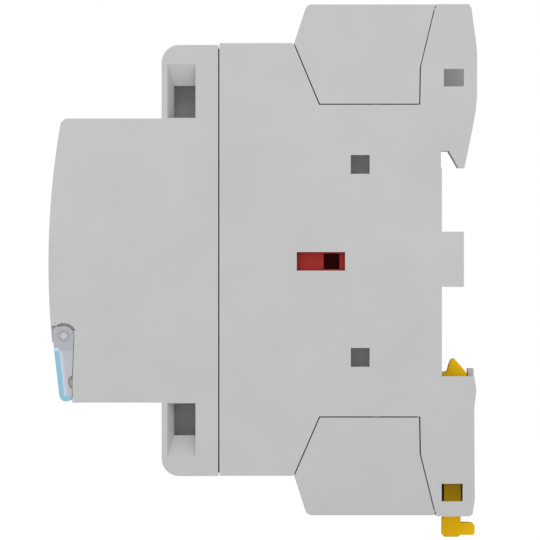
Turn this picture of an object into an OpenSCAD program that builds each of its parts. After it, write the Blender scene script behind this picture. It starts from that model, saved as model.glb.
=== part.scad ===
// DIN rail contactor, two modules wide, four poles.
// Origin: centre of the 35 mm rail's front plane. +Z up, -Y towards the device's front, +X to the right.
// Outlines are drawn in the side plane as [y, z] and extruded across the width along X.

/* [Body] */
// Width of the housing, two 18 mm modules less clearance
body_w = 35.6; // [35.6:0.1:36]
// Thickness of the side walls
wall = 1.5; // [1.3:0.1:1.6]
// Gap left at the seam between front cover and base
seam = 0.22; // [0.15:0.01:0.25]
// Gap left round the terminal housings
terminal_gap = 0.16; // [0.1:0.01:0.2]

/* [Terminals] */
// Distance between the centres of two poles
pole_pitch = 8.8; // [8.7:0.05:8.8]
// Height of the main clamping screws above the rail's centre
screw_z = 37.1; // [37:0.05:37.2]
// Travel of a main clamp's cage
clamp_travel = 4.2; // [3.8:0.1:4.2]

/* [Contacts] */
// Travel of the contact carrier
carrier_travel = 4; // [3.6:0.1:4]
// Distance between open contacts
contact_gap = 3; // [2.6:0.1:3]
// Height of the contact tips above and below the carrier
tip_z = 8.6; // [8.2:0.1:9]

/* [Magnet] */
// Thickness of the laminated core packs
core_w = 15; // [14:0.5:15]
// Air gap between the core halves when released
air_gap = 4.1; // [4.1:0.05:4.3]

/* [Rail clip] */
// Travel of the rail clip when it is pulled down
clip_travel = 3.5; // [3:0.1:3.5]
// Width of the rail clip
clip_w = 27; // [26:0.5:31]

/* [Label flap] */
// Thickness of the flap's front plate
flap_plate = 0.8; // [0.6:0.1:0.8]
// Radius of the stub pins that the flap turns on
flap_pin_r = 0.6; // [0.55:0.05:0.7]

/* [Hidden] */
half_w = body_w / 2;
inner_w = half_w - wall;
nose_inner_w = half_w - 2;
fit = 0.05;          // radial clearance of running fits
slot_gap = 0.15;     // clearance round the bars in their slots
far = 100;           // longer than the part, for cuts that run right through
poles = [1, 2, 3, 4];
function pole_x(k) = (k - 2.5) * pole_pitch;

// Side outline of the housing
seam_y = -35.5;      // seam between front cover and base
tongue_z = [32.6, 33.75];
tongue_w = 14.5;
nose_y = -62.6;      // foremost point of the nose
nose_z = 22.6;       // half height of the nose
nose_r = 130;        // radius of the nose's curved front
nose_mid_z = -0.5;   // height of the nose's foremost point
shoulder_y = -44.6;  // front of the shoulders
shoulder_z = 34.3;   // half height of the shoulders
shoulder_r = 2.8;    // corner radius of the shoulders
step_top = 34.6;     // base, above the front cover
step_bottom = 34.25;  // base, below it
crown_top = 40.75;   // terminal housing, top
crown_bottom = 40.5; // terminal housing, bottom
terminal_front = -23.5;
rail_half = 17.45;   // half of the 35 mm rail's height, as the hook grips it
hook_z = 14.8;       // lower edge of the hook
tooth_z = -15.4;     // just above the clip's tooth
seat_relief = 0.15;  // the seat is this much deeper under the hook and the clip

// Main clamp, along Y from the front: screw head, cage's threaded wall, bar, wire space, cage's rear wall
head_y = -19.4;
head_h = 2;
head_r = 2.6;
screw_r = 1.75;
bar_y = -11.2;
bar_t = 1.2;
cage_wall = 1.6;
cage_back = 1.1;
closed_gap = 0.9;    // left between bar and cage when the clamp is closed
cage_back_y = bar_y + bar_t + clamp_travel + closed_gap + cage_back;
cage_w = 7;
cage_inner = 5.4;
cage_h = 4.8;
bar_w = 4.8;

// Windows in the side walls, for the hooks of an auxiliary contact block: [y, z] corners
pocket_y = [-14.5, -11.5];
pocket_z_top = [13.8, 16.8];
pocket_z_bottom = [-16.9, -13.9];
pocket_depth = 4.2;
pocket_wall = 0.6;
shoulder_depth_right = 7;
shoulder_depth_left = 4.4; // shorter, beside the coil's clamp

// Coil clamp, in the shoulder
coil_x = -9.6;
coil_z = 29.5;
coil_head_y = -43.85;
coil_head_h = 1.1;
coil_head_r = 2.2;
coil_screw_r = 1.5;
lead_y = -39.7;
lead_t = 0.7;
lead_w = 3.1;
coil_cage_wall = 1.1;
coil_cage_back_y = -35.8;
coil_cage_back = 0.8;
coil_cage_w = 5.2;
coil_cage_inner = 3.6;
coil_cage_h = 4.6;

// Contacts and carrier, all at rest
fixed_y = -14.6;     // front face of a fixed bar beside its tip
tip_t = 0.7;
tip_r = 1.5;
tip_face = fixed_y + bar_t + tip_t;
bridge_t = 1;
bridge_w = 4;
bridge_y = tip_face + contact_gap + tip_t;
carrier_y = -24.5;   // front face of the carrier's beam
carrier_z = 3.9;
carrier_w = inner_w - 0.3;
carrier_back = -3.4;
carrier_back_t = 1.2;
slot_z = -0.12;      // centre of the side slot that shows the carrier
slot_y = [-23.1, -15.4];
slot_h = 2.96;

// Magnet
core_half = 19.4;
core_leg = 6;
core_mid = 5.4;
core_back_y = -58;
core_back = 4.6;
pole_face_y = -45.1;
armature_back_y = -28.9;
armature_back = 5;
pin_y = -31.4;
pin_r = 1.4;
bobbin_y = [-53.1, -41];
bobbin_w = 13.6;
bobbin_z = 13;
bobbin_wall = 1;
flange_t = 1.2;
return_x = 11.4;
return_seat = -28;

// Rail clip
post_z = -33.4;      // top of the post that the clip's spring stands on
post_h = 2 + clip_travel;
window_top = -23;    // top of the clip's window, which the spring pushes up

// Label flap
hinge_y = -60.15;
hinge_z = -12;
cheek_t = 0.5;
cheek_r = 1.58;
cheek_x = half_w - 0.1;      // outer face of a cheek
cheek_swing_r = 1.95;        // farthest that a cheek's top corner reaches from the hinge
recess_gap = 0.1;
recess_floor = cheek_x - cheek_t - recess_gap;
recess_top = -10.37;

grey = "#c3c4c4";
steel = "#b9bdc0";
copper = "#b87548";
brass = "#c9a75a";

// ---- shapes shared by several pieces ----

// A box between two corners
module span(low, high) {
    translate(low)
        cube(high - low);
}

// Extrudes a [y, z] outline across the width, from x0 to x1
module across(x0, x1) {
    translate([x0, 0, 0])
        rotate([90, 0, 90])
            linear_extrude(x1 - x0)
                children();
}

// Both sides of the object: the same shape at +X and mirrored at -X
module both_sides() {
    children();
    mirror([1, 0, 0])
        children();
}

// The same shape above and mirrored below the rail's centre
module top_and_bottom() {
    children();
    mirror([0, 0, 1])
        children();
}

// A rod along Y
module rod_y(r, y0, y1, x = 0, z = 0) {
    translate([x, y0, z])
        rotate([-90, 0, 0])
            cylinder(r = r, h = y1 - y0, $fn = 48);
}

// A rod along X
module rod_x(r, x0, x1, y, z) {
    translate([x0, y, z])
        rotate([0, 90, 0])
            cylinder(r = r, h = x1 - x0, $fn = 48);
}

function arc(y, z, r, from, to, steps = 8) = [
    for (i = [0:steps])
        let (a = from + (to - from) * i / steps)
            [y + r * cos(a), z + r * sin(a)]
];

// A helical spring along +Z, from 0 to its length
module coil_spring(mean_r, wire_r, length, turns) {
    sides = 6;
    steps = 12 * turns;
    rise = length - 2 * wire_r;
    points = [
        for (i = [0:steps])
            let (turn = 360 * turns * i / steps, z = wire_r + rise * i / steps)
                for (j = [0:sides - 1])
                    let (a = 360 * j / sides, r = mean_r + wire_r * cos(a))
                        [r * cos(turn), r * sin(turn), z + wire_r * sin(a)]
    ];
    skin = [
        for (i = [0:steps - 1])
            for (j = [0:sides - 1])
                let (n = (j + 1) % sides)
                    [i * sides + j, (i + 1) * sides + j, (i + 1) * sides + n, i * sides + n]
    ];
    first = [for (j = [0:sides - 1]) j];
    last = [for (j = [sides - 1:-1:0]) steps * sides + j];
    polyhedron(points = points, faces = concat(skin, [first, last]));
}

// A spring along +Y that starts at y0
module spring_y(mean_r, wire_r, y0, y1, turns, x = 0, z = 0) {
    translate([x, y0, z])
        rotate([-90, 0, 0])
            coil_spring(mean_r, wire_r, y1 - y0, turns);
}

// A steel screw along Y with a combined slot and cross recess in its head
module clamp_screw(x, z, y0, r_head, h_head, r_shank, tip) {
    recess = h_head * 0.6;
    slot_w = r_head * 0.3;
    difference() {
        union() {
            rod_y(r_head, y0, y0 + h_head, x, z);
            rod_y(r_shank, y0 + h_head, tip, x, z);
        }
        for (a = [0, 90])
            translate([x, y0, z])
                rotate([0, a, 0])
                    span([-r_head * (a == 0 ? 2 : 0.6), -1, -slot_w / 2],
                         [r_head * (a == 0 ? 2 : 0.6), recess, slot_w / 2]);
    }
}

// A clamp's cage, a band of steel round the bar, open along Z and threaded in its front wall
module clamp_cage(x, z, front, back, wall_front, wall_back, width, inside, height, r_thread) {
    difference() {
        span([x - width / 2, front, z - height / 2], [x + width / 2, back, z + height / 2]);
        span([x - inside / 2, front + wall_front, z - height],
             [x + inside / 2, back - wall_back, z + height]);
        rod_y(r_thread + fit, front - 1, front + wall_front + 1, x, z);
    }
}

// ---- outlines in the side plane ----

function nose_front(z) = nose_y + nose_r - sqrt(nose_r * nose_r - pow(z - nose_mid_z, 2));

nose_outline = concat(
    [for (i = [0:20]) let (z = -nose_z + 0.7 + i * (2 * nose_z - 1.4) / 20) [nose_front(z), z]],
    [[nose_front(nose_z) + 0.6, nose_z], [shoulder_y + 2, nose_z]],
    [[shoulder_y + 2, -nose_z], [nose_front(-nose_z) + 0.6, -nose_z]]
);

shoulder_outline = concat(
    arc(shoulder_y + shoulder_r, shoulder_z - shoulder_r, shoulder_r, 180, 90),
    [[seam_y - seam / 2, shoulder_z], [seam_y - seam / 2, -shoulder_z]],
    arc(shoulder_y + shoulder_r, shoulder_r - shoulder_z, shoulder_r, 270, 180)
);

// The side outline of the base; the terminal pockets are cut out of it later
base_outline = [
    [seam_y + seam / 2, step_top], [terminal_front + 5, step_top], [terminal_front + 5, 40.8],
    [4.3, 40.8], [4.7, 40.2], [5.4, 35.1], [5.6, 33.2], [5.6, 26.2], [5.4, 23.9], [4.8, 20.6],
    [3.6, hook_z], [2.6, hook_z], [1.1, rail_half], [-seat_relief, rail_half],
    [-seat_relief, hook_z], [0, hook_z], [0, -18.4], [5.15, -18.4], [5.5, -20.6], [5.15, -23.5],
    [5.25, -38], [4.9, -40.3], [4.4, -40.7], [-0.8, -40.7], [-1.5, -40.4],
    [terminal_front + 5, -40.4], [terminal_front + 5, -step_bottom], [seam_y + seam / 2, -step_bottom]
];

base_cavity = [
    [-50, step_top - 1.6], [-25.3, step_top - 1.6], [-21.3, 23.3], [-1.5, 23.3],
    [-1.5, -23.3], [-21.3, -23.3], [-25.3, 1.6 - step_bottom], [-50, 1.6 - step_bottom]
];

// A terminal housing's outline above the rail's centre
function terminal_outline(step, crown) = [
    [terminal_front, step], [terminal_front + 1.75, crown - 0.8], [terminal_front + 2.1, crown - 0.2],
    [terminal_front + 2.6, crown], [-1.1, crown], [-3.5, 30.85], [-3.6, 24.95], [-19.45, 24.95]
];

// The inside of one pole's terminal chamber
terminal_chamber = [
    [head_y - 0.1, screw_z + 2.65], [-3.6, screw_z + 2.65], [-3.6, 34.2], [-5.1, 30.5],
    [-5.1, 26.2], [-17.4, 26.2], [head_y - 0.1, 31]
];

// ---- housing ----

module terminal_pocket(step, crown) {
    across(-far, far) {
        offset(delta = terminal_gap)
            polygon(terminal_outline(step, crown));
        // above the crown the pocket stays open
        polygon([[terminal_front - terminal_gap, step], [terminal_front + 2, crown + 5],
                 [-1, crown + 5], [-1.1 + terminal_gap, crown - 0.5]]);
    }
}

// Rail side of the base: pockets behind the upper hook, well for the clip
module rail_side_cuts() {
    rib = 1.2;
    both_sides()
        span([rib / 2, 0.3, 24.5], [inner_w, 10, 37.6]);
    span([-inner_w, -seat_relief, -far], [inner_w, 4.15, tooth_z]);
}

// Walls of the blind pockets behind the windows at the contacts
module pocket_walls(z) {
    both_sides()
        span([half_w - pocket_depth - pocket_wall, pocket_y[0] - pocket_wall, z[0] - pocket_wall],
             [inner_w + 0.2, pocket_y[1] + pocket_wall, z[1] + pocket_wall]);
}

// Square windows and slots in the side walls
module side_openings() {
    both_sides() {
        for (z = [pocket_z_top, pocket_z_bottom])
            span([half_w - pocket_depth, pocket_y[0], z[0]], [far, pocket_y[1], z[1]]);
        for (window = [[0.3, 3.5, 27.7, 30.5], [-0.05, 3.3, -38.3, -35.5]])
            span([inner_w - 1, window[0], window[2]], [far, window[1], window[3]]);
        // slot that shows the contact carrier
        span([inner_w - 1, slot_y[0], slot_z - slot_h / 2], [far, slot_y[1], slot_z + slot_h / 2]);
    }
}

// The housing block with its cavities, before the openings in its sides are cut
module base_shell() {
    difference() {
        union() {
            across(-half_w, half_w)
                polygon(base_outline);
            // the rear wall rises a little between the side walls
            span([-12, 4.15, -20], [12, 5.1, -17.2]);
        }
        terminal_pocket(step_top, crown_top);
        mirror([0, 0, 1])
            terminal_pocket(step_bottom, crown_bottom);
        across(-inner_w, inner_w)
            polygon(base_cavity);
        rail_side_cuts();
        // slots that the fixed contact bars pass through
        for (k = poles)
            span([pole_x(k) - bar_w / 2 - slot_gap, bar_y - slot_gap, -30],
                 [pole_x(k) + bar_w / 2 + slot_gap, bar_y + bar_t + slot_gap, 30]);
    }
}

module base_housing() {
    pad_w = 12.5;
    lip_t = 0.45;
    lip_x = inner_w - 0.35;
    lip_z = 32.6;
    guide_z = carrier_z + 0.3;
    color(grey) {
        difference() {
            union() {
                base_shell();
                pocket_walls(pocket_z_top);
                pocket_walls(pocket_z_bottom);
            }
            side_openings();
        }
        // pads that reach into the rail's channel
        both_sides()
            span([half_w - pad_w, -0.5, -4.2], [half_w, 3.5, 4.6]);
        // partitions between the poles
        for (x = [-pole_pitch, 0, pole_pitch])
            top_and_bottom()
                span([x - 0.6, -17, 5.4], [x + 0.6, -1, 23.6]);
        both_sides() {
            // lip that locates the front cover
            span([lip_x - lip_t, seam_y - 1.5, -lip_z], [lip_x, seam_y + 1.5, lip_z]);
            span([lip_x - lip_t, seam_y + 0.4, -lip_z], [inner_w + 0.2, seam_y + 1.5, lip_z]);
            // guides for the contact carrier
            top_and_bottom()
                span([inner_w - 2.6, -23.6, guide_z], [inner_w + 0.2, -17, guide_z + 1.2]);
        }
        // tongues in the grooves of the front cover's end walls
        top_and_bottom()
            span([-tongue_w, seam_y - 0.6, tongue_z[0]], [tongue_w, seam_y + 1.2, tongue_z[1]]);
        // post that the rail clip's spring stands on
        span([-1.6, -0.5, post_z - post_h], [1.6, 4.5, post_z]);
    }
}

// One deep side window of a shoulder, with a sloped outer and front wall
module shoulder_window(depth) {
    slope = 2.2;
    span([half_w - depth, -42.6, 22.7], [far, -39.2, 27.8]);
    hull() {
        span([half_w - slope, -42.6, 22.7], [half_w - slope + 0.1, -39.2, 27.8]);
        span([half_w, -43.7, 22.7], [half_w + 1, -39.2, 31.3]);
    }
}

module window_walls(depth) {
    span([half_w - depth - 1, shoulder_y + 1, 21.7], [inner_w + 0.5, -38.2, 32.2]);
}

// The chamber of the coil's clamp in the top shoulder
module coil_chamber() {
    side = coil_cage_w / 2 + 0.25;
    span([coil_x - side, coil_head_y + coil_head_h, coil_z - 2.6], [coil_x + side, -35, coil_z + 2.7]);
    rod_y(coil_head_r + 0.15, coil_head_y - fit, coil_head_y + coil_head_h + 0.1, coil_x, coil_z);
    rod_y(1.9, -50, -43, coil_x, coil_z);
    span([coil_x - 1.75, lead_y - 0.15, 20], [coil_x + 1.75, lead_y + lead_t + 0.15, coil_z]);
    span([coil_x - 1.75, -38.9, coil_z], [coil_x + 1.75, -36.7, far]);
}

nose_cavity = [
    [-59.2, nose_z - 1.5], [-60.3, 16], [-60.9, 8], [-61.1, 0], [-60.9, -8], [-60.6, -10.6],
    [-58.9, -12.6], [-58.3, 1.5 - nose_z], [-30, 1.5 - nose_z], [-30, nose_z - 1.5]
];

// A cheek below its round end; the top front corner follows the circle that it swings on
cheek_outline = concat(
    arc(hinge_y, hinge_z, cheek_swing_r, 156, 129, 3),
    arc(hinge_y, hinge_z, cheek_r, 112, 90, 2),
    [[hinge_y + cheek_r, hinge_z], [-58.8, -18.1], [-58.88, -21.9]],
    [[-59.15, -22.3], [-60, -22.45], [-60.55, -22.15], [-60.85, -21.6], [-61.75, -13.9]]
);

// Room for the flap: right across the front, and a shallow recess in each side
module flap_room() {
    across(-far, far)
        difference() {
            polygon([[-65, -13], [-60.28, -13], [-59.63, -21.1], [-58.8, -21.1], [-58.8, -24], [-65, -24]]);
            translate([hinge_y, hinge_z])
                circle(r = cheek_swing_r, $fn = 48);
        }
    both_sides()
        across(recess_floor, far) {
            offset(delta = recess_gap)
                polygon(cheek_outline);
            translate([hinge_y, hinge_z])
                circle(r = cheek_r + recess_gap, $fn = 48);
            // above the hinge the recess is larger, for the corner that swings through it
            intersection() {
                translate([hinge_y, hinge_z])
                    circle(r = cheek_swing_r + 0.12, $fn = 48);
                translate([hinge_y - 1.1, hinge_z + 0.85])
                    square([3, 3]);
            }
            polygon([[-65, recess_top], [hinge_y, recess_top], [hinge_y, -24], [-65, -24]]);
        }
}

module front_cover() {
    shell = 1.5;
    color(grey)
        difference() {
            union() {
                difference() {
                    union() {
                        across(-half_w, half_w)
                            polygon(nose_outline);
                        across(-half_w, half_w)
                            polygon(shoulder_outline);
                    }
                    across(-nose_inner_w, nose_inner_w)
                        polygon(nose_cavity);
                    span([-inner_w, shoulder_y + shell, shell - shoulder_z],
                         [inner_w, -30, shoulder_z - shell]);
                }
                top_and_bottom() {
                    // block that holds the coil's clamp
                    span([coil_x - 3.6, shoulder_y + 1, coil_z - 4.3], [coil_x + 3.6, -35.9, shoulder_z - 1]);
                    // walls round the deep side windows
                    window_walls(shoulder_depth_right);
                    mirror([1, 0, 0])
                        window_walls(shoulder_depth_left);
                    // ribs that hold the core's pads
                    span([-7, -61.5, 3], [7, -59.5, 9]);
                }
                both_sides()
                    rod_x(flap_pin_r, nose_inner_w, half_w - 0.1, hinge_y, hinge_z);
            }
            difference() {
                flap_room();
                both_sides()
                    rod_x(flap_pin_r, nose_inner_w, half_w - 0.1, hinge_y, hinge_z);
            }
            top_and_bottom() {
                shoulder_window(shoulder_depth_right);
                mirror([1, 0, 0])
                    shoulder_window(shoulder_depth_left);
                coil_chamber();
            }
            // grooves for the base's tongues
            top_and_bottom()
                span([-tongue_w - slot_gap, seam_y - 0.75, tongue_z[0] - 0.1],
                     [tongue_w + slot_gap, seam_y + 1, tongue_z[1] + slot_gap]);
            // opening for the position indicator
            span([13.45, -65, 5.2], [16.05, -60, 8.2]);
        }
}

module terminal_housing(step, crown) {
    color(grey)
        difference() {
            across(-half_w, half_w)
                polygon(terminal_outline(step, crown));
            for (k = poles) {
                across(pole_x(k) - cage_w / 2 - 0.15, pole_x(k) + cage_w / 2 + 0.15)
                    polygon(terminal_chamber);
                // screwdriver access
                rod_y(2.3, -30, head_y, pole_x(k), screw_z);
                // wire entry
                span([pole_x(k) - 2.5, bar_y + bar_t + 0.05, screw_z], [pole_x(k) + 2.5, -5, far]);
                // slot for the bar
                span([pole_x(k) - bar_w / 2 - slot_gap, bar_y - slot_gap, 20],
                     [pole_x(k) + bar_w / 2 + slot_gap, bar_y + bar_t + slot_gap, 30]);
            }
        }
}

module top_terminal_housing() {
    terminal_housing(step_top, crown_top);
}

module bottom_terminal_housing() {
    mirror([0, 0, 1])
        terminal_housing(step_bottom, crown_bottom);
}

// ---- magnet and coil ----

// A three-legged core with its back at back_y0 to back_y1 and its legs reaching face_y
module e_core(back_y0, back_y1, face_y) {
    low = min(back_y0, face_y);
    high = max(back_y1, face_y);
    span([-core_w / 2, back_y0, -core_half], [core_w / 2, back_y1, core_half]);
    span([-core_w / 2, low, -core_mid], [core_w / 2, high, core_mid]);
    top_and_bottom()
        span([-core_w / 2, low, core_half - core_leg], [core_w / 2, high, core_half]);
}

// Grooves of the shading rings in the outer legs' pole faces
ring_grooves = [14.6, 17.2];
ring_t = 1;
ring_depth = 1.3;
ring_top = pole_face_y - 0.3;

module fixed_core() {
    color(steel)
        difference() {
            e_core(core_back_y, core_back_y + core_back, pole_face_y);
            top_and_bottom()
                for (z = ring_grooves)
                    span([-far, pole_face_y - ring_depth, z], [far, pole_face_y + 1, z + ring_t]);
        }
}

module shading_rings() {
    side = core_w / 2 + ring_t;
    color(copper)
        top_and_bottom() {
            for (z = ring_grooves)
                span([-side, pole_face_y - ring_depth, z], [side, ring_top, z + ring_t]);
            both_sides()
                span([core_w / 2, pole_face_y - ring_depth, ring_grooves[0]],
                     [side, ring_top, ring_grooves[1] + ring_t]);
        }
}

module core_pads() {
    color("#3a3b3d")
        top_and_bottom()
            span([-7, -59.5, 3], [7, core_back_y, 9]);
}

module armature() {
    color(steel)
        difference() {
            e_core(armature_back_y - armature_back, armature_back_y, pole_face_y + air_gap);
            rod_x(pin_r + fit, -far, far, pin_y, 0);
        }
}

module armature_pin() {
    color(steel)
        rod_x(pin_r, -9.3, 9.3, pin_y, 0);
}

module coil_bobbin() {
    tube_x = core_w / 2 + 0.4;
    tube_z = core_mid + 0.4;
    color("#e9e6dc")
        difference() {
            union() {
                for (y = [bobbin_y[0], bobbin_y[1] - flange_t])
                    span([-bobbin_w, y, -bobbin_z], [bobbin_w, y + flange_t, bobbin_z]);
                span([-tube_x - bobbin_wall, bobbin_y[0], -tube_z - bobbin_wall],
                     [tube_x + bobbin_wall, bobbin_y[1], tube_z + bobbin_wall]);
            }
            span([-tube_x, -far, -tube_z], [tube_x, far, tube_z]);
        }
}

module coil_winding() {
    tube_x = core_w / 2 + 0.4 + bobbin_wall;
    tube_z = core_mid + 0.4 + bobbin_wall;
    color(copper)
        difference() {
            span([-bobbin_w + 1, bobbin_y[0] + flange_t, -bobbin_z + 0.8],
                 [bobbin_w - 1, bobbin_y[1] - flange_t, bobbin_z - 0.8]);
            span([-tube_x, -far, -tube_z], [tube_x, far, tube_z]);
        }
}

module coil_lead() {
    foot_z = 10.5;
    color(brass)
        across(coil_x - lead_w / 2, coil_x + lead_w / 2)
            polygon([[lead_y, coil_z + 2.1], [lead_y + lead_t, coil_z + 2.1], [lead_y + lead_t, foot_z],
                     [bobbin_y[1], foot_z], [bobbin_y[1], foot_z + lead_t], [lead_y, foot_z + lead_t]]);
}

module coil_lead_top() {
    coil_lead();
}

module coil_lead_bottom() {
    mirror([0, 0, 1])
        coil_lead();
}

module return_springs() {
    color(steel)
        for (x = [-return_x, return_x])
            spring_y(1.6, 0.25, bobbin_y[1], return_seat, 6, x);
}

// ---- moving contacts ----

module contact_carrier() {
    beam_back = bridge_y;
    column = 0.7;
    outer_column = carrier_w - pole_x(4) - bridge_w / 2 - 0.15;
    link_y = slot_y[0] + 0.3 + carrier_travel;
    link_w = 2.5;
    link_depth = 8;
    color("#88312a")
        difference() {
            union() {
                span([-carrier_w, carrier_y, -carrier_z], [carrier_w, beam_back, carrier_z]);
                // columns and rear wall round each contact bridge
                for (x = [-pole_pitch, 0, pole_pitch])
                    span([x - column, beam_back - 0.5, -3.8], [x + column, carrier_back + 0.5, 3.8]);
                both_sides()
                    span([carrier_w - outer_column, beam_back - 0.5, -3.8],
                         [carrier_w, carrier_back + 0.5, 3.8]);
                span([-carrier_w, carrier_back, -3.8], [carrier_w, carrier_back + carrier_back_t, 3.8]);
                // pad and arms that hold the armature, and seats of the return springs
                span([-7, armature_back_y, -carrier_z], [7, carrier_y + 0.5, carrier_z]);
                both_sides() {
                    span([7.7, -33.4, -3.2], [9.35, carrier_y + 0.5, 3.2]);
                    span([9.3, return_seat, -3], [13.4, carrier_y + 0.5, 3]);
                }
            }
            rod_x(pin_r + fit, -far, far, pin_y, 0);
            // pockets in the sides, for the link to an auxiliary contact block
            both_sides()
                span([carrier_w - link_depth, link_y, slot_z - link_w / 2],
                     [far, link_y + link_w, slot_z + link_w / 2]);
            // hollows that lighten the beam
            for (k = poles)
                top_and_bottom()
                    span([pole_x(k) - 2.6, -22.5, 1.8], [pole_x(k) + 2.6, beam_back - 2.6, 10]);
        }
}

module position_indicator() {
    color("#c8362c") {
        span([14.2, -56.6, 5.5], [15.3, carrier_y, 7.9]);
        span([14.2, carrier_y - 2.5, -2], [15.3, carrier_y, 5.6]);
    }
}

module indicator_window() {
    color("#dfe8ea", 0.5)
        span([13.5, nose_front(6.7) + 0.15, 5.25], [16, -60.8, 8.15]);
}

module moving_contact(k) {
    x = pole_x(k);
    color(copper) {
        span([x - bridge_w / 2, bridge_y, -tip_z - 1.8],
             [x + bridge_w / 2, bridge_y + bridge_t, tip_z + 1.8]);
        for (z = [-tip_z, tip_z])
            rod_y(tip_r, bridge_y - tip_t, bridge_y + 0.1, x, z);
    }
}

module contact_spring(k) {
    color(steel)
        spring_y(1.25, 0.22, bridge_y + bridge_t, carrier_back, 4, pole_x(k));
}

// ---- fixed contacts and clamps, drawn above the rail's centre ----

// A bent bar: from the clamp straight in, back round the side pockets, then forward to its tip
module fixed_contact(k) {
    x = pole_x(k);
    outer_z = screw_z + 2.1;
    inner_z = tip_z - 2.4;
    mid_y = pocket_y[1] + pocket_wall + 0.5;
    front_side = [
        [bar_y, outer_z], [bar_y, 21.7], [mid_y, 20.9], [mid_y, 12.9], [fixed_y, 10.4],
        [fixed_y, inner_z]
    ];
    back_side = [
        [fixed_y + bar_t, inner_z], [fixed_y + bar_t, 10.2], [mid_y + bar_t, 12.3],
        [mid_y + bar_t, 20.5], [bar_y + bar_t, 21.3], [bar_y + bar_t, outer_z]
    ];
    color(copper) {
        across(x - bar_w / 2, x + bar_w / 2)
            polygon(concat(front_side, back_side));
        rod_y(tip_r, fixed_y + bar_t - 0.1, tip_face - fit, x, tip_z);
    }
}

module main_cage(k) {
    color(steel)
        clamp_cage(pole_x(k), screw_z, bar_y - cage_wall - 0.1, cage_back_y, cage_wall, cage_back,
                   cage_w, cage_inner, cage_h, screw_r);
}

module main_screw(k) {
    color(steel)
        clamp_screw(pole_x(k), screw_z, head_y, head_r, head_h, screw_r, bar_y - 0.05);
}

module coil_cage() {
    color(steel)
        clamp_cage(coil_x, coil_z, lead_y - coil_cage_wall - 0.1, coil_cage_back_y, coil_cage_wall,
                   coil_cage_back, coil_cage_w, coil_cage_inner, coil_cage_h, coil_screw_r);
}

module coil_screw() {
    color(steel)
        clamp_screw(coil_x, coil_z, coil_head_y, coil_head_r, coil_head_h, coil_screw_r, lead_y - 0.05);
}

// ---- rail clip ----

module din_clip() {
    window_z = post_z - post_h - 0.6;
    front = 0.35;
    back = 3.05;
    tooth_front = 0.05;
    foot_z = -40.9;
    foot_front = 0.05;
    foot_low = foot_z - 3.15;
    foot_r = 0.6;
    toe_low = foot_z - 2.85;
    toe_back = 5.28;
    toe_r = 0.4;
    outline = concat(
        [[tooth_front, -17.85], [0.95, -17.6], [1.2, -16.6], [1.55, -15.75], [2, -15.6], [3.45, -17.25]],
        [[3.95, -17.9], [3.95, -18.6], [back, -19.4], [back, foot_z - 0.9]],
        arc(toe_back - foot_r, foot_z - 0.9 - foot_r, foot_r, 90, 0, 4),
        arc(toe_back - toe_r, toe_low + toe_r, toe_r, 0, -90, 4),
        arc(back - foot_r, foot_low + foot_r, foot_r, -30, -90, 4),
        arc(foot_front + foot_r, foot_low + foot_r, foot_r, -90, -180, 4),
        [[foot_front, foot_z - 0.3], [front, foot_z], [front, -19.2], [tooth_front, -18.9]]
    );
    color("#d6a41a")
        difference() {
            across(-clip_w / 2, clip_w / 2)
                polygon(outline);
            // window round the spring and its post
            span([-2.3, -5, window_z], [2.3, 10, window_top]);
            // the foot is narrower than the plate
            both_sides()
                span([9, -5, -far], [far, 10, foot_z + 0.6]);
            // slot for a screwdriver's blade
            span([-3, -5, foot_z - 2.3], [3, 3.4, foot_z - 1]);
        }
}

module din_clip_spring() {
    color(steel)
        translate([0, 2.1, post_z])
            coil_spring(1.35, 0.25, window_top - post_z, 6);
}

// ---- label flap ----

module label_flap() {
    plate = [
        [-61.75, -13.9], [-61.7 + flap_plate, -14.6], [-60.9 + flap_plate, -21.3], [-59.9, -21.6],
        [-59.15, -21.65], [-59.15, -22.3], [-60, -22.45], [-60.55, -22.15], [-60.85, -21.6]
    ];
    color("#9cc3cf", 0.6) {
        across(-cheek_x, cheek_x)
            polygon(plate);
        both_sides()
            across(cheek_x - cheek_t, cheek_x)
                difference() {
                    union() {
                        polygon(cheek_outline);
                        translate([hinge_y, hinge_z])
                            circle(r = cheek_r, $fn = 48);
                    }
                    translate([hinge_y, hinge_z])
                        circle(r = flap_pin_r + fit, $fn = 48);
                    // finger notch
                    translate([-58.27, -19.35])
                        circle(r = 1.23, $fn = 32);
                }
    }
}

module label_card() {
    color("white")
        across(-half_w + 2, half_w - 2)
            polygon([[-60.55, -14.3], [-60.2, -14.3], [-59.74, -20.6], [-60.09, -20.6]]);
}

// ---- assembly ----

module mirror_z() {
    mirror([0, 0, 1])
        children();
}

base_housing();
front_cover();
top_terminal_housing();
bottom_terminal_housing();
fixed_core();
shading_rings();
core_pads();
coil_bobbin();
coil_winding();
coil_lead_top();
coil_lead_bottom();
return_springs();
armature();
armature_pin();
contact_carrier();
position_indicator();
indicator_window();
din_clip();
din_clip_spring();
label_flap();
label_card();
coil_cage();  // coil_cage_top
coil_screw();  // coil_screw_top
mirror_z() coil_cage();  // coil_cage_bottom
mirror_z() coil_screw();  // coil_screw_bottom
for (k = poles) {
    moving_contact(k);
    contact_spring(k);
    fixed_contact(k);
    mirror_z() fixed_contact(k);
    main_cage(k);
    mirror_z() main_cage(k);
    main_screw(k);
    mirror_z() main_screw(k);
}
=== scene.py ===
"""Looks of the DIN rail contactor: moulded edges, materials, light and camera."""

import math

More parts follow.
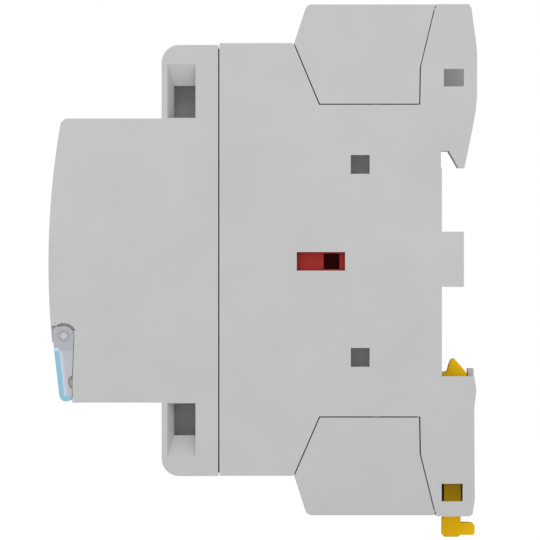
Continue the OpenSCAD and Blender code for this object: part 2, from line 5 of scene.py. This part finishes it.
import bpy
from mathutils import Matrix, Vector


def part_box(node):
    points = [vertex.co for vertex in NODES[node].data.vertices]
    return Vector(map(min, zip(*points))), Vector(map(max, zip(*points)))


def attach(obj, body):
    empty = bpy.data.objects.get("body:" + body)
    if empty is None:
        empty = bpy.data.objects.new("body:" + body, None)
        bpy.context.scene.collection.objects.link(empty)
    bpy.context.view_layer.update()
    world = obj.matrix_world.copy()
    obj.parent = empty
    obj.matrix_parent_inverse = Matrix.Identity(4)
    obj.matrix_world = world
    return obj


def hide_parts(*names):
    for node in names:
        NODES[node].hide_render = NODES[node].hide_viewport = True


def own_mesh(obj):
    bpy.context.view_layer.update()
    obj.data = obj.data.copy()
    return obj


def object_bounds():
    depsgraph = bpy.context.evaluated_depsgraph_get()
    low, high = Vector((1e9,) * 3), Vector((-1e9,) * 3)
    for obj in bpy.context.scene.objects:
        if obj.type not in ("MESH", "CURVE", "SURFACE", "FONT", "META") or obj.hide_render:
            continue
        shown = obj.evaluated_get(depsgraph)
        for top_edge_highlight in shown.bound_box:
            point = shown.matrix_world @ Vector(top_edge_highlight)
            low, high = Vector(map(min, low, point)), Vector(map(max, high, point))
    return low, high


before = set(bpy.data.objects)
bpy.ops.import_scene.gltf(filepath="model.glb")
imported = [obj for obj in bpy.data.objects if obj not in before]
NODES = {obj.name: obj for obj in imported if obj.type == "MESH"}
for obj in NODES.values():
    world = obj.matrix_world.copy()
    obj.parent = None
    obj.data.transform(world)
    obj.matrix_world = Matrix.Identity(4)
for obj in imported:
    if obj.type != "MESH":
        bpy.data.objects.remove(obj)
CAD_BOUNDS = [list(top_edge_highlight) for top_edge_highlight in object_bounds()]
MM = 0.001
POLES = (1, 2, 3, 4)
SIDES = ("top", "bottom")


# ---- edges: the moulded and cut pieces named below get small real radii ----


def round_edges(names, width_mm, segments=3, angle=35):
    """Welds the mesh's split corners and rounds its edges to a radius of width_mm."""
    for name in names:
        piece = NODES[name]
        weld = piece.modifiers.new("weld", "WELD")
        weld.merge_threshold = 0.002 * MM
        bevel = piece.modifiers.new("edge radius", "BEVEL")
        bevel.width = width_mm * MM
        bevel.segments = segments
        bevel.limit_method = "ANGLE"
        bevel.angle_limit = math.radians(angle)
        bevel.use_clamp_overlap = True
        bevel.harden_normals = True
        bevel.miter_outer = "MITER_ARC"


# ---- materials ----

WAVE_SCALE_OF_1 = math.pi / 10  # gives a wave texture bands that are 1 apart


class Shader:
    """A principled material and short ways to add nodes to it. Coordinates are in millimetres."""

    def __init__(self, name, roughness, metallic=0.0):
        self.material = bpy.data.materials.new(name)
        self.material.use_nodes = True
        self.tree = self.material.node_tree
        self.bsdf = self.tree.nodes["Principled BSDF"]
        self.setting("Roughness", roughness)
        self.setting("Metallic", metallic)
        place = self.add("ShaderNodeTexCoord")
        scaled = self.add("ShaderNodeVectorMath", operation="SCALE")
        scaled.inputs["Scale"].default_value = 1 / MM
        self.link(place.outputs["Object"], scaled.inputs[0])
        self.mm = scaled.outputs[0]

    def add(self, kind, **settings):
        """Adds a node of one kind and sets its properties."""
        node = self.tree.nodes.new(kind)
        for key, value in settings.items():
            setattr(node, key, value)
        return node

    def link(self, source, target):
        self.tree.links.new(source, target)

    def noise(self, per_mm, detail=3.0, roughness=0.55, stretch=None):
        """A noise of so many cells per millimetre, stretched along an axis if asked."""
        source = self.mm
        if stretch:
            source = self.vector("MULTIPLY", source, stretch).outputs["Vector"]
        node = self.add("ShaderNodeTexNoise")
        node.inputs["Scale"].default_value = per_mm
        node.inputs["Detail"].default_value = detail
        node.inputs["Roughness"].default_value = roughness
        self.link(source, node.inputs["Vector"])
        return node.outputs["Fac"]

    def remap(self, value, low, high, from_low=0.3, from_high=0.7):
        """Maps the range from_low to from_high onto low to high, and stays within it."""
        node = self.add("ShaderNodeMapRange")
        for key, number in (
            ("From Min", from_low),
            ("From Max", from_high),
            ("To Min", low),
            ("To Max", high),
        ):
            node.inputs[key].default_value = number
        self.link(value, node.inputs["Value"])
        return node.outputs["Result"]

    def mix(self, factor, first, second):
        """Blends two colours, each given as numbers or as another node's output."""
        node = self.add("ShaderNodeMix", data_type="RGBA")
        for socket, value in (
            (node.inputs["Factor"], factor),
            (node.inputs["A"], first),
            (node.inputs["B"], second),
        ):
            if isinstance(value, tuple):
                socket.default_value = (*value, 1.0)
            else:
                self.link(value, socket)
        return node.outputs["Result"]

    def vector(self, operation, source, value):
        """A vector node between an output and a fixed vector."""
        node = self.add("ShaderNodeVectorMath", operation=operation)
        self.link(source, node.inputs[0])
        node.inputs[1].default_value = value
        return node

    def product(self, first, second):
        """Multiplies two outputs."""
        node = self.add("ShaderNodeMath", operation="MULTIPLY")
        self.link(first, node.inputs[0])
        self.link(second, node.inputs[1])
        return node.outputs[0]

    def bands(self, axis, period_mm, distortion):
        """Stripes across an axis, one for each period."""
        node = self.add("ShaderNodeTexWave", wave_type="BANDS", bands_direction=axis)
        node.inputs["Scale"].default_value = WAVE_SCALE_OF_1 / period_mm
        node.inputs["Distortion"].default_value = distortion
        self.link(self.mm, node.inputs["Vector"])
        return node.outputs["Fac"]

    def setting(self, name, value):
        """Sets one of the shader's own sockets to a fixed value."""
        self.bsdf.inputs[name].default_value = value

    def colour(self, value):
        self.link(value, self.bsdf.inputs["Base Color"])

    def roughness(self, value):
        self.link(value, self.bsdf.inputs["Roughness"])

    def bump(self, height, distance_mm, strength=1.0):
        """Adds a bump on top of any that is there already."""
        node = self.add("ShaderNodeBump")
        node.inputs["Strength"].default_value = strength
        node.inputs["Distance"].default_value = distance_mm * MM
        self.link(height, node.inputs["Height"])
        normal = self.bsdf.inputs["Normal"]
        if normal.is_linked:
            self.link(normal.links[0].from_socket, node.inputs["Normal"])
        self.link(node.outputs["Normal"], normal)

    def edges(self, radius_mm):
        """1 along convex and concave edges, 0 on flat faces."""
        bevel = self.add("ShaderNodeBevel", samples=4)
        bevel.inputs["Radius"].default_value = radius_mm * MM
        geometry = self.add("ShaderNodeNewGeometry")
        dot = self.add("ShaderNodeVectorMath", operation="DOT_PRODUCT")
        self.link(bevel.outputs[0], dot.inputs[0])
        self.link(geometry.outputs["Normal"], dot.inputs[1])
        return self.remap(dot.outputs["Value"], 1.0, 0.0, from_low=0.86, from_high=0.995)


def shade(colour, factor):
    """A colour made darker or lighter by a factor."""
    return tuple(min(1.0, channel * factor) for channel in colour)


def moulded_plastic(name, colour, roughness=0.48, wear=1.1, specular=0.4):
    """Moulded plastic with a fine eroded texture, faint flow marks, and edges painted lighter:
    partly edge wear, partly a painted highlight.
    """
    variation, grain_mm = 0.03, 0.012
    shader = Shader(name, roughness)
    flow = shader.noise(0.09, detail=2.0)
    tint = shader.mix(
        shader.remap(flow, 0.0, 1.0), shade(colour, 1 - variation), shade(colour, 1 + variation)
    )
    grain = shader.noise(5.5, detail=4.0, roughness=0.65)
    speck = shader.mix(shader.remap(grain, 0.0, 0.35), tint, shade(colour, 1 - 2 * variation))
    # Edges painted lighter by the wear factor: partly edge wear, partly a painted highlight where
    # the rounded edges catch light.
    edge = shader.edges(0.3)
    worn_and_highlit = shader.mix(shader.remap(edge, 0.0, 0.5, 0.0, 1.0), speck, shade(colour, wear))
    shader.colour(worn_and_highlit)
    shader.roughness(shader.remap(grain, roughness - 0.07, roughness + 0.08))
    shader.bump(grain, grain_mm, 0.6)
    shader.bump(shader.noise(0.16, detail=1.0), 0.06, 0.25)
    shader.setting("IOR", 1.5)
    shader.setting("Specular IOR Level", specular)
    return shader.material


def drawn_metal(name, colour, roughness=0.32, stretch=(0.15, 1.0, 0.15), dirt=0.35):
    """Rolled or turned metal: fine scratches along the grain, dull film in places."""
    shader = Shader(name, roughness, metallic=1.0)
    cloud = shader.noise(0.35, detail=4.0)
    tint = shader.mix(shader.remap(cloud, 0.0, dirt), colour, shade(colour, 0.55))
    edge = shader.edges(0.15)
    shader.colour(shader.mix(shader.remap(edge, 0.0, 0.6, 0.0, 1.0), tint, shade(colour, 1.25)))
    scratch = shader.noise(9.0, detail=5.0, roughness=0.7, stretch=stretch)
    shader.roughness(shader.remap(scratch, roughness - 0.1, roughness + 0.16))
    shader.bump(scratch, 0.006, 0.5)
    return shader.material


def laminated_steel(name):
    """A stack of 0.5 mm electrical sheets, seen as fine lines along X."""
    shader = Shader(name, 0.42, metallic=1.0)
    sheets = shader.bands("X", period_mm=0.5, distortion=0.0)
    rust = shader.noise(0.6, detail=5.0)
    base = shader.mix(shader.remap(rust, 0.0, 0.6), (0.36, 0.36, 0.37), (0.2, 0.16, 0.13))
    shader.colour(shader.mix(sheets, (0.12, 0.12, 0.12), base))
    shader.roughness(shader.remap(rust, 0.35, 0.6))
    shader.bump(sheets, 0.03, 0.7)
    return shader.material


def wound_wire(name):
    """Layers of 0.2 mm enamelled wire."""
    shader = Shader(name, 0.3, metallic=0.6)
    turns = shader.bands("Y", period_mm=0.2, distortion=0.4)
    cloud = shader.noise(0.5)
    base = shader.mix(shader.remap(cloud, 0.0, 1.0), (0.5, 0.16, 0.06), (0.62, 0.26, 0.1))
    shader.colour(shader.mix(turns, (0.16, 0.05, 0.02), base))
    shader.bump(turns, 0.05, 0.8)
    return shader.material


def tinted_flap(name, front_start, front_end, lip_z, pin):
    """Transparent plastic. The thick front plate and the lip look blue along their cut edges,
    the label's edge shines through behind them, and the thin cheeks look grey and darker
    round the pin."""
    shader = Shader(name, 0.22)
    down = (front_end - front_start).normalized()
    inward = Vector((0, -down.z, down.y))
    offset = shader.vector("SUBTRACT", shader.mm, front_start).outputs["Vector"]
    depth = shader.vector("DOT_PRODUCT", offset, inward).outputs["Value"]
    split = shader.add("ShaderNodeSeparateXYZ")
    shader.link(shader.mm, split.inputs[0])
    height = split.outputs["Z"]
    blue, light_blue = (0.25, 0.5, 0.63), (0.46, 0.66, 0.82)
    pale, clear, upper = (0.58, 0.52, 0.62), (0.40, 0.43, 0.45), (0.41, 0.42, 0.46)
    cheek = shader.mix(shader.noise(0.7), clear, shade(clear, 1.25))
    layers = ((pale, 1.36, 0.14), (light_blue, 1.02, 0.08), (blue, 0.8, 0.08))
    result = cheek
    for colour, limit, blur in layers:
        inside = shader.remap(depth, 1.0, 0.0, from_low=limit - blur, from_high=limit + blur)
        result = shader.mix(inside, result, colour)
    lip = shader.remap(height, 1.0, 0.0, from_low=lip_z - 0.08, from_high=lip_z + 0.08)
    result = shader.mix(lip, result, blue)
    top = front_start.z
    above = shader.remap(height, 0.0, 1.0, from_low=top - 0.55, from_high=top - 0.4)
    result = shader.mix(above, result, upper)
    side_view = shader.vector("MULTIPLY", shader.mm, (0, 1, 1)).outputs["Vector"]
    from_pin = shader.vector("DISTANCE", side_view, pin).outputs["Value"]
    ring = shader.remap(from_pin, 0.6, 0.0, from_low=0.6, from_high=1.25)
    result = shader.mix(ring, result, (0.27, 0.29, 0.32))
    # Painted highlight along the front plate's top edge.
    on_plate = shader.remap(depth, 1.0, 0.0, from_low=0.7, from_high=0.9)
    below_top = shader.remap(height, 1.0, 0.0, from_low=top - 0.05, from_high=top + 0.1)
    top_edge_highlight = shader.product(shader.product(on_plate, below_top), above)
    result = shader.mix(top_edge_highlight, result, (0.5, 0.68, 0.82))
    # Painted highlight along all the flap's edges.
    edge = shader.remap(shader.edges(0.1), 0.0, 0.3, 0.0, 1.0)
    shader.colour(shader.mix(edge, result, (0.58, 0.64, 0.68)))
    shader.roughness(shader.remap(shader.noise(1.4), 0.14, 0.3))
    shader.setting("Transmission Weight", 0.15)
    shader.setting("IOR", 1.58)
    shader.bump(shader.noise(0.6, detail=1.0), 0.015, 0.2)
    return shader.material


def clear_window(name):
    """Clear acrylic."""
    shader = Shader(name, 0.08)
    cloud = shader.noise(0.8)
    shader.colour(shader.mix(cloud, (0.75, 0.8, 0.82), (0.9, 0.94, 0.95)))
    shader.roughness(shader.remap(cloud, 0.05, 0.14))
    shader.setting("Transmission Weight", 0.9)
    shader.setting("IOR", 1.49)
    return shader.material


def paper_card(name):
    """White card with fine fibres."""
    shader = Shader(name, 0.7)
    fibre = shader.noise(6.0, detail=4.0, stretch=(1.0, 0.4, 0.4))
    shader.colour(shader.mix(shader.remap(fibre, 0.0, 1.0), (0.8, 0.8, 0.78), (0.88, 0.88, 0.87)))
    shader.bump(fibre, 0.01, 0.4)
    return shader.material


def soft_rubber(name):
    """Black rubber, matt and slightly grainy."""
    shader = Shader(name, 0.75)
    grain = shader.noise(3.0, detail=4.0)
    dark, light = (0.02, 0.02, 0.022), (0.045, 0.045, 0.05)
    shader.colour(shader.mix(shader.remap(grain, 0.0, 1.0), dark, light))
    shader.bump(grain, 0.03, 0.6)
    return shader.material


def wear(material, names):
    """Puts a material on every slot of the named CAD nodes."""
    for name in names:
        piece = NODES[name]
        if not piece.material_slots:
            raise RuntimeError(f"{name} has no material slot")
        for slot in piece.material_slots:
            slot.material = material


def numbered(stem):
    """The four poles' names of one kind of piece."""
    return [f"{stem}_{k}" for k in POLES]


HOUSINGS = ["base_housing", "front_cover", "top_terminal_housing", "bottom_terminal_housing"]
CAGES = [n for side in SIDES for n in numbered(f"clamp_cage_{side}") + [f"coil_cage_{side}"]]
SCREWS = [n for side in SIDES for n in numbered(f"clamp_screw_{side}") + [f"coil_screw_{side}"]]
BARS = [n for side in SIDES for n in numbered(f"fixed_contact_{side}")]

wear(moulded_plastic("housing_grey", (0.447, 0.448, 0.449)), HOUSINGS)
RED, BRIGHT_RED, YELLOW = (0.38, 0.028, 0.024), (0.55, 0.04, 0.03), (0.84, 0.51, 0.003)
# wear sets how much lighter the edges are painted: partly edge wear, partly painted highlight.
wear(moulded_plastic("carrier_red", RED, 0.42, wear=1.3, specular=0.1), ["contact_carrier"])
wear(moulded_plastic("indicator_red", BRIGHT_RED, 0.4), ["position_indicator"])
wear(moulded_plastic("clip_yellow", YELLOW, 0.42, wear=1.12, specular=0.08), ["din_clip"])
wear(moulded_plastic("bobbin_ivory", (0.72, 0.68, 0.56), 0.45), ["coil_bobbin"])
wear(drawn_metal("zinc_steel", (0.62, 0.62, 0.6)), CAGES + ["armature_pin"])
wear(drawn_metal("screw_steel", (0.55, 0.55, 0.54), 0.28, stretch=(1.0, 0.1, 1.0)), SCREWS)
wear(drawn_metal("copper", (0.72, 0.34, 0.2), 0.34), BARS + numbered("moving_contact"))
wear(drawn_metal("brass", (0.66, 0.48, 0.2), 0.33), ["coil_lead_top", "coil_lead_bottom"])
wear(drawn_metal("ring_copper", (0.68, 0.32, 0.18), 0.4), ["shading_rings"])
wear(laminated_steel("laminations"), ["fixed_core", "armature"])
wear(wound_wire("enamelled_wire"), ["coil_winding"])
wear(soft_rubber("pad_rubber"), ["core_pads"])
wear(clear_window("window_clear"), ["indicator_window"])
wear(paper_card("card_white"), ["label_card"])
FLAP_TOP, FLAP_FOOT = Vector((0, -61.75, -13.9)), Vector((0, -60.85, -21.6))
FLAP_LIP_Z = -21.55
FLAP_PIN = (0, -60.15, -12)
wear(tinted_flap("flap_tint", FLAP_TOP, FLAP_FOOT, FLAP_LIP_Z, FLAP_PIN), ["label_flap"])

round_edges(HOUSINGS, 0.22)
round_edges(["din_clip", "contact_carrier", "position_indicator"], 0.2)
round_edges(["coil_bobbin", "core_pads"], 0.2, 2)
round_edges(CAGES + BARS + numbered("moving_contact"), 0.12, 2)
round_edges(SCREWS, 0.1, 2)


# ---- springs: round wire with closed ends, in place of the plain CAD helices ----

AXES = {"Y": Vector((0, 1, 0)), "Z": Vector((0, 0, 1))}
WIRE_SIDES = 10
TURN_STEPS = 28
CLOSED_TURNS = 1.2


def spring_rise(share, turns, wire, length):
    """How far along its axis the wire is after a share of its turns. The end turns lie closed."""
    done = share * turns
    closed = CLOSED_TURNS * wire
    if done < CLOSED_TURNS:
        return wire / 2 + done * wire
    if done > turns - CLOSED_TURNS:
        return length - wire / 2 - (turns - done) * wire
    middle = (done - CLOSED_TURNS) / (turns - 2 * CLOSED_TURNS)
    free = length - wire - 2 * closed
    return wire / 2 + closed + middle * free


def spring_rings(low, high, axis, wire, turns):
    """The rings of vertices round the wire, for a spring that fills the box from low to high."""
    along = AXES[axis]
    side = Vector((1, 0, 0))
    across = along.cross(side)
    length = (high - low).dot(along)
    radius = ((high - low).dot(side) - wire) / 2
    base = (low + high) / 2 - along * length / 2
    steps = int(turns * TURN_STEPS)
    for step in range(steps + 1):
        share = step / steps
        angle = 2 * math.pi * turns * share
        outward = side * math.cos(angle) + across * math.sin(angle)
        centre = base + outward * radius + along * spring_rise(share, turns, wire, length)
        yield [
            centre
            + outward * math.cos(2 * math.pi * k / WIRE_SIDES) * wire / 2
            + along * math.sin(2 * math.pi * k / WIRE_SIDES) * wire / 2
            for k in range(WIRE_SIDES)
        ]


def make_spring(name, boxes, axis, wire_mm, turns, material):
    """One piece of one or more springs, one in each box."""
    points, faces = [], []
    for low, high in boxes:
        rings = list(spring_rings(low, high, axis, wire_mm * MM, turns))
        first = len(points)
        points += [point for ring in rings for point in ring]
        last = first + (len(rings) - 1) * WIRE_SIDES
        for ring in range(first, last, WIRE_SIDES):
            for k in range(WIRE_SIDES):
                here, beside = ring + k, ring + (k + 1) % WIRE_SIDES
                faces.append((here, beside, beside + WIRE_SIDES, here + WIRE_SIDES))
        faces.append(tuple(reversed(range(first, first + WIRE_SIDES))))
        faces.append(tuple(range(last, last + WIRE_SIDES)))
    mesh = bpy.data.meshes.new(name)
    mesh.from_pydata(points, [], faces)
    mesh.materials.append(material)
    mesh.shade_smooth()
    piece = bpy.data.objects.new(name, mesh)
    bpy.context.collection.objects.link(piece)
    return piece


def halves(node):
    """The two ends of a node's box along X, each as wide as a spring in it."""
    low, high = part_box(node)
    width = high.z - low.z
    return [
        (low, Vector((low.x + width, high.y, high.z))),
        (Vector((high.x - width, low.y, low.z)), high),
    ]


def fit_springs(material):
    """Each spring is a round-wire coil in place of its CAD node, hung on the body that carries it.
    """
    boxes = halves("return_springs")
    piece = make_spring("return_coils", boxes, "Y", wire_mm=0.5, turns=7, material=material)
    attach(piece, "housing")
    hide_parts("return_springs")
    low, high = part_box("return_springs")
    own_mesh(piece)
    for k in POLES:
        low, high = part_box(f"contact_spring_{k}")
        boxes = [(low, high)]
        piece = make_spring(
            f"contact_coil_{k}", boxes, "Y", wire_mm=0.44, turns=5, material=material
        )
        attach(piece, "carrier")
        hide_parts(f"contact_spring_{k}")
        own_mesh(piece)
    low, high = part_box("din_clip_spring")
    boxes = [(low, high)]
    piece = make_spring("clip_coil", boxes, "Z", wire_mm=0.5, turns=8, material=material)
    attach(piece, "housing")
    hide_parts("din_clip_spring")
    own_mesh(piece)


fit_springs(drawn_metal("spring_steel", (0.5, 0.5, 0.5), 0.3))


# ---- floor, light and camera ----


def make_floor(size, gap):
    """A pale floor under the device, as far below it as the gap."""
    low = CAD_BOUNDS[0][2] - gap
    bpy.ops.mesh.primitive_plane_add(size=size, location=(0, 0, low))
    floor = bpy.context.object
    floor.name = "floor"
    shader = Shader("floor_white", 0.9)
    cloud = shader.noise(0.01)
    shader.colour(shader.mix(cloud, (0.86, 0.86, 0.86), (0.88, 0.88, 0.88)))
    shader.setting("Specular IOR Level", 0.0)
    shader.setting("Emission Color", (1, 1, 1, 1))
    shader.setting("Emission Strength", 0.16)
    floor.data.materials.append(shader.material)


def area_light(name, location, target, size, power):
    """A square lamp that faces the target."""
    data = bpy.data.lights.new(name, "AREA")
    data.shape = "SQUARE"
    data.size = size
    data.energy = power
    lamp = bpy.data.objects.new(name, data)
    bpy.context.collection.objects.link(lamp)
    lamp.location = location
    lamp.rotation_euler = (Vector(target) - Vector(location)).to_track_quat("-Z", "Y").to_euler()


def make_world(strength):
    """An even white studio."""
    world = bpy.data.worlds.new("studio")
    world.use_nodes = True
    background = world.node_tree.nodes["Background"]
    background.inputs["Color"].default_value = (1, 1, 1, 1)
    background.inputs["Strength"].default_value = strength
    bpy.context.scene.world = world


def make_camera(centre, distance, height):
    """A level camera on the +X side that frames height metres at the housing's near face."""
    near_face = CAD_BOUNDS[1][0]
    data = bpy.data.cameras.new("camera")
    data.sensor_width = 36
    data.lens = data.sensor_width * distance / height
    data.clip_start = 0.01
    camera = bpy.data.objects.new("camera", data)
    bpy.context.collection.objects.link(camera)
    camera.location = (near_face + distance, *centre)
    camera.rotation_euler = (math.radians(90), 0, math.radians(90))
    bpy.context.scene.camera = camera


make_floor(size=6, gap=4 * MM)
make_world(1.0)
area_light("key", (0.28, -0.05, 0.24), (0, -0.03, 0), 0.2, 0.25)
make_camera(centre=(-27.35 * MM, -1.5 * MM), distance=3.9, height=85.9 * MM)
bpy.context.scene.view_settings.view_transform = "Standard"
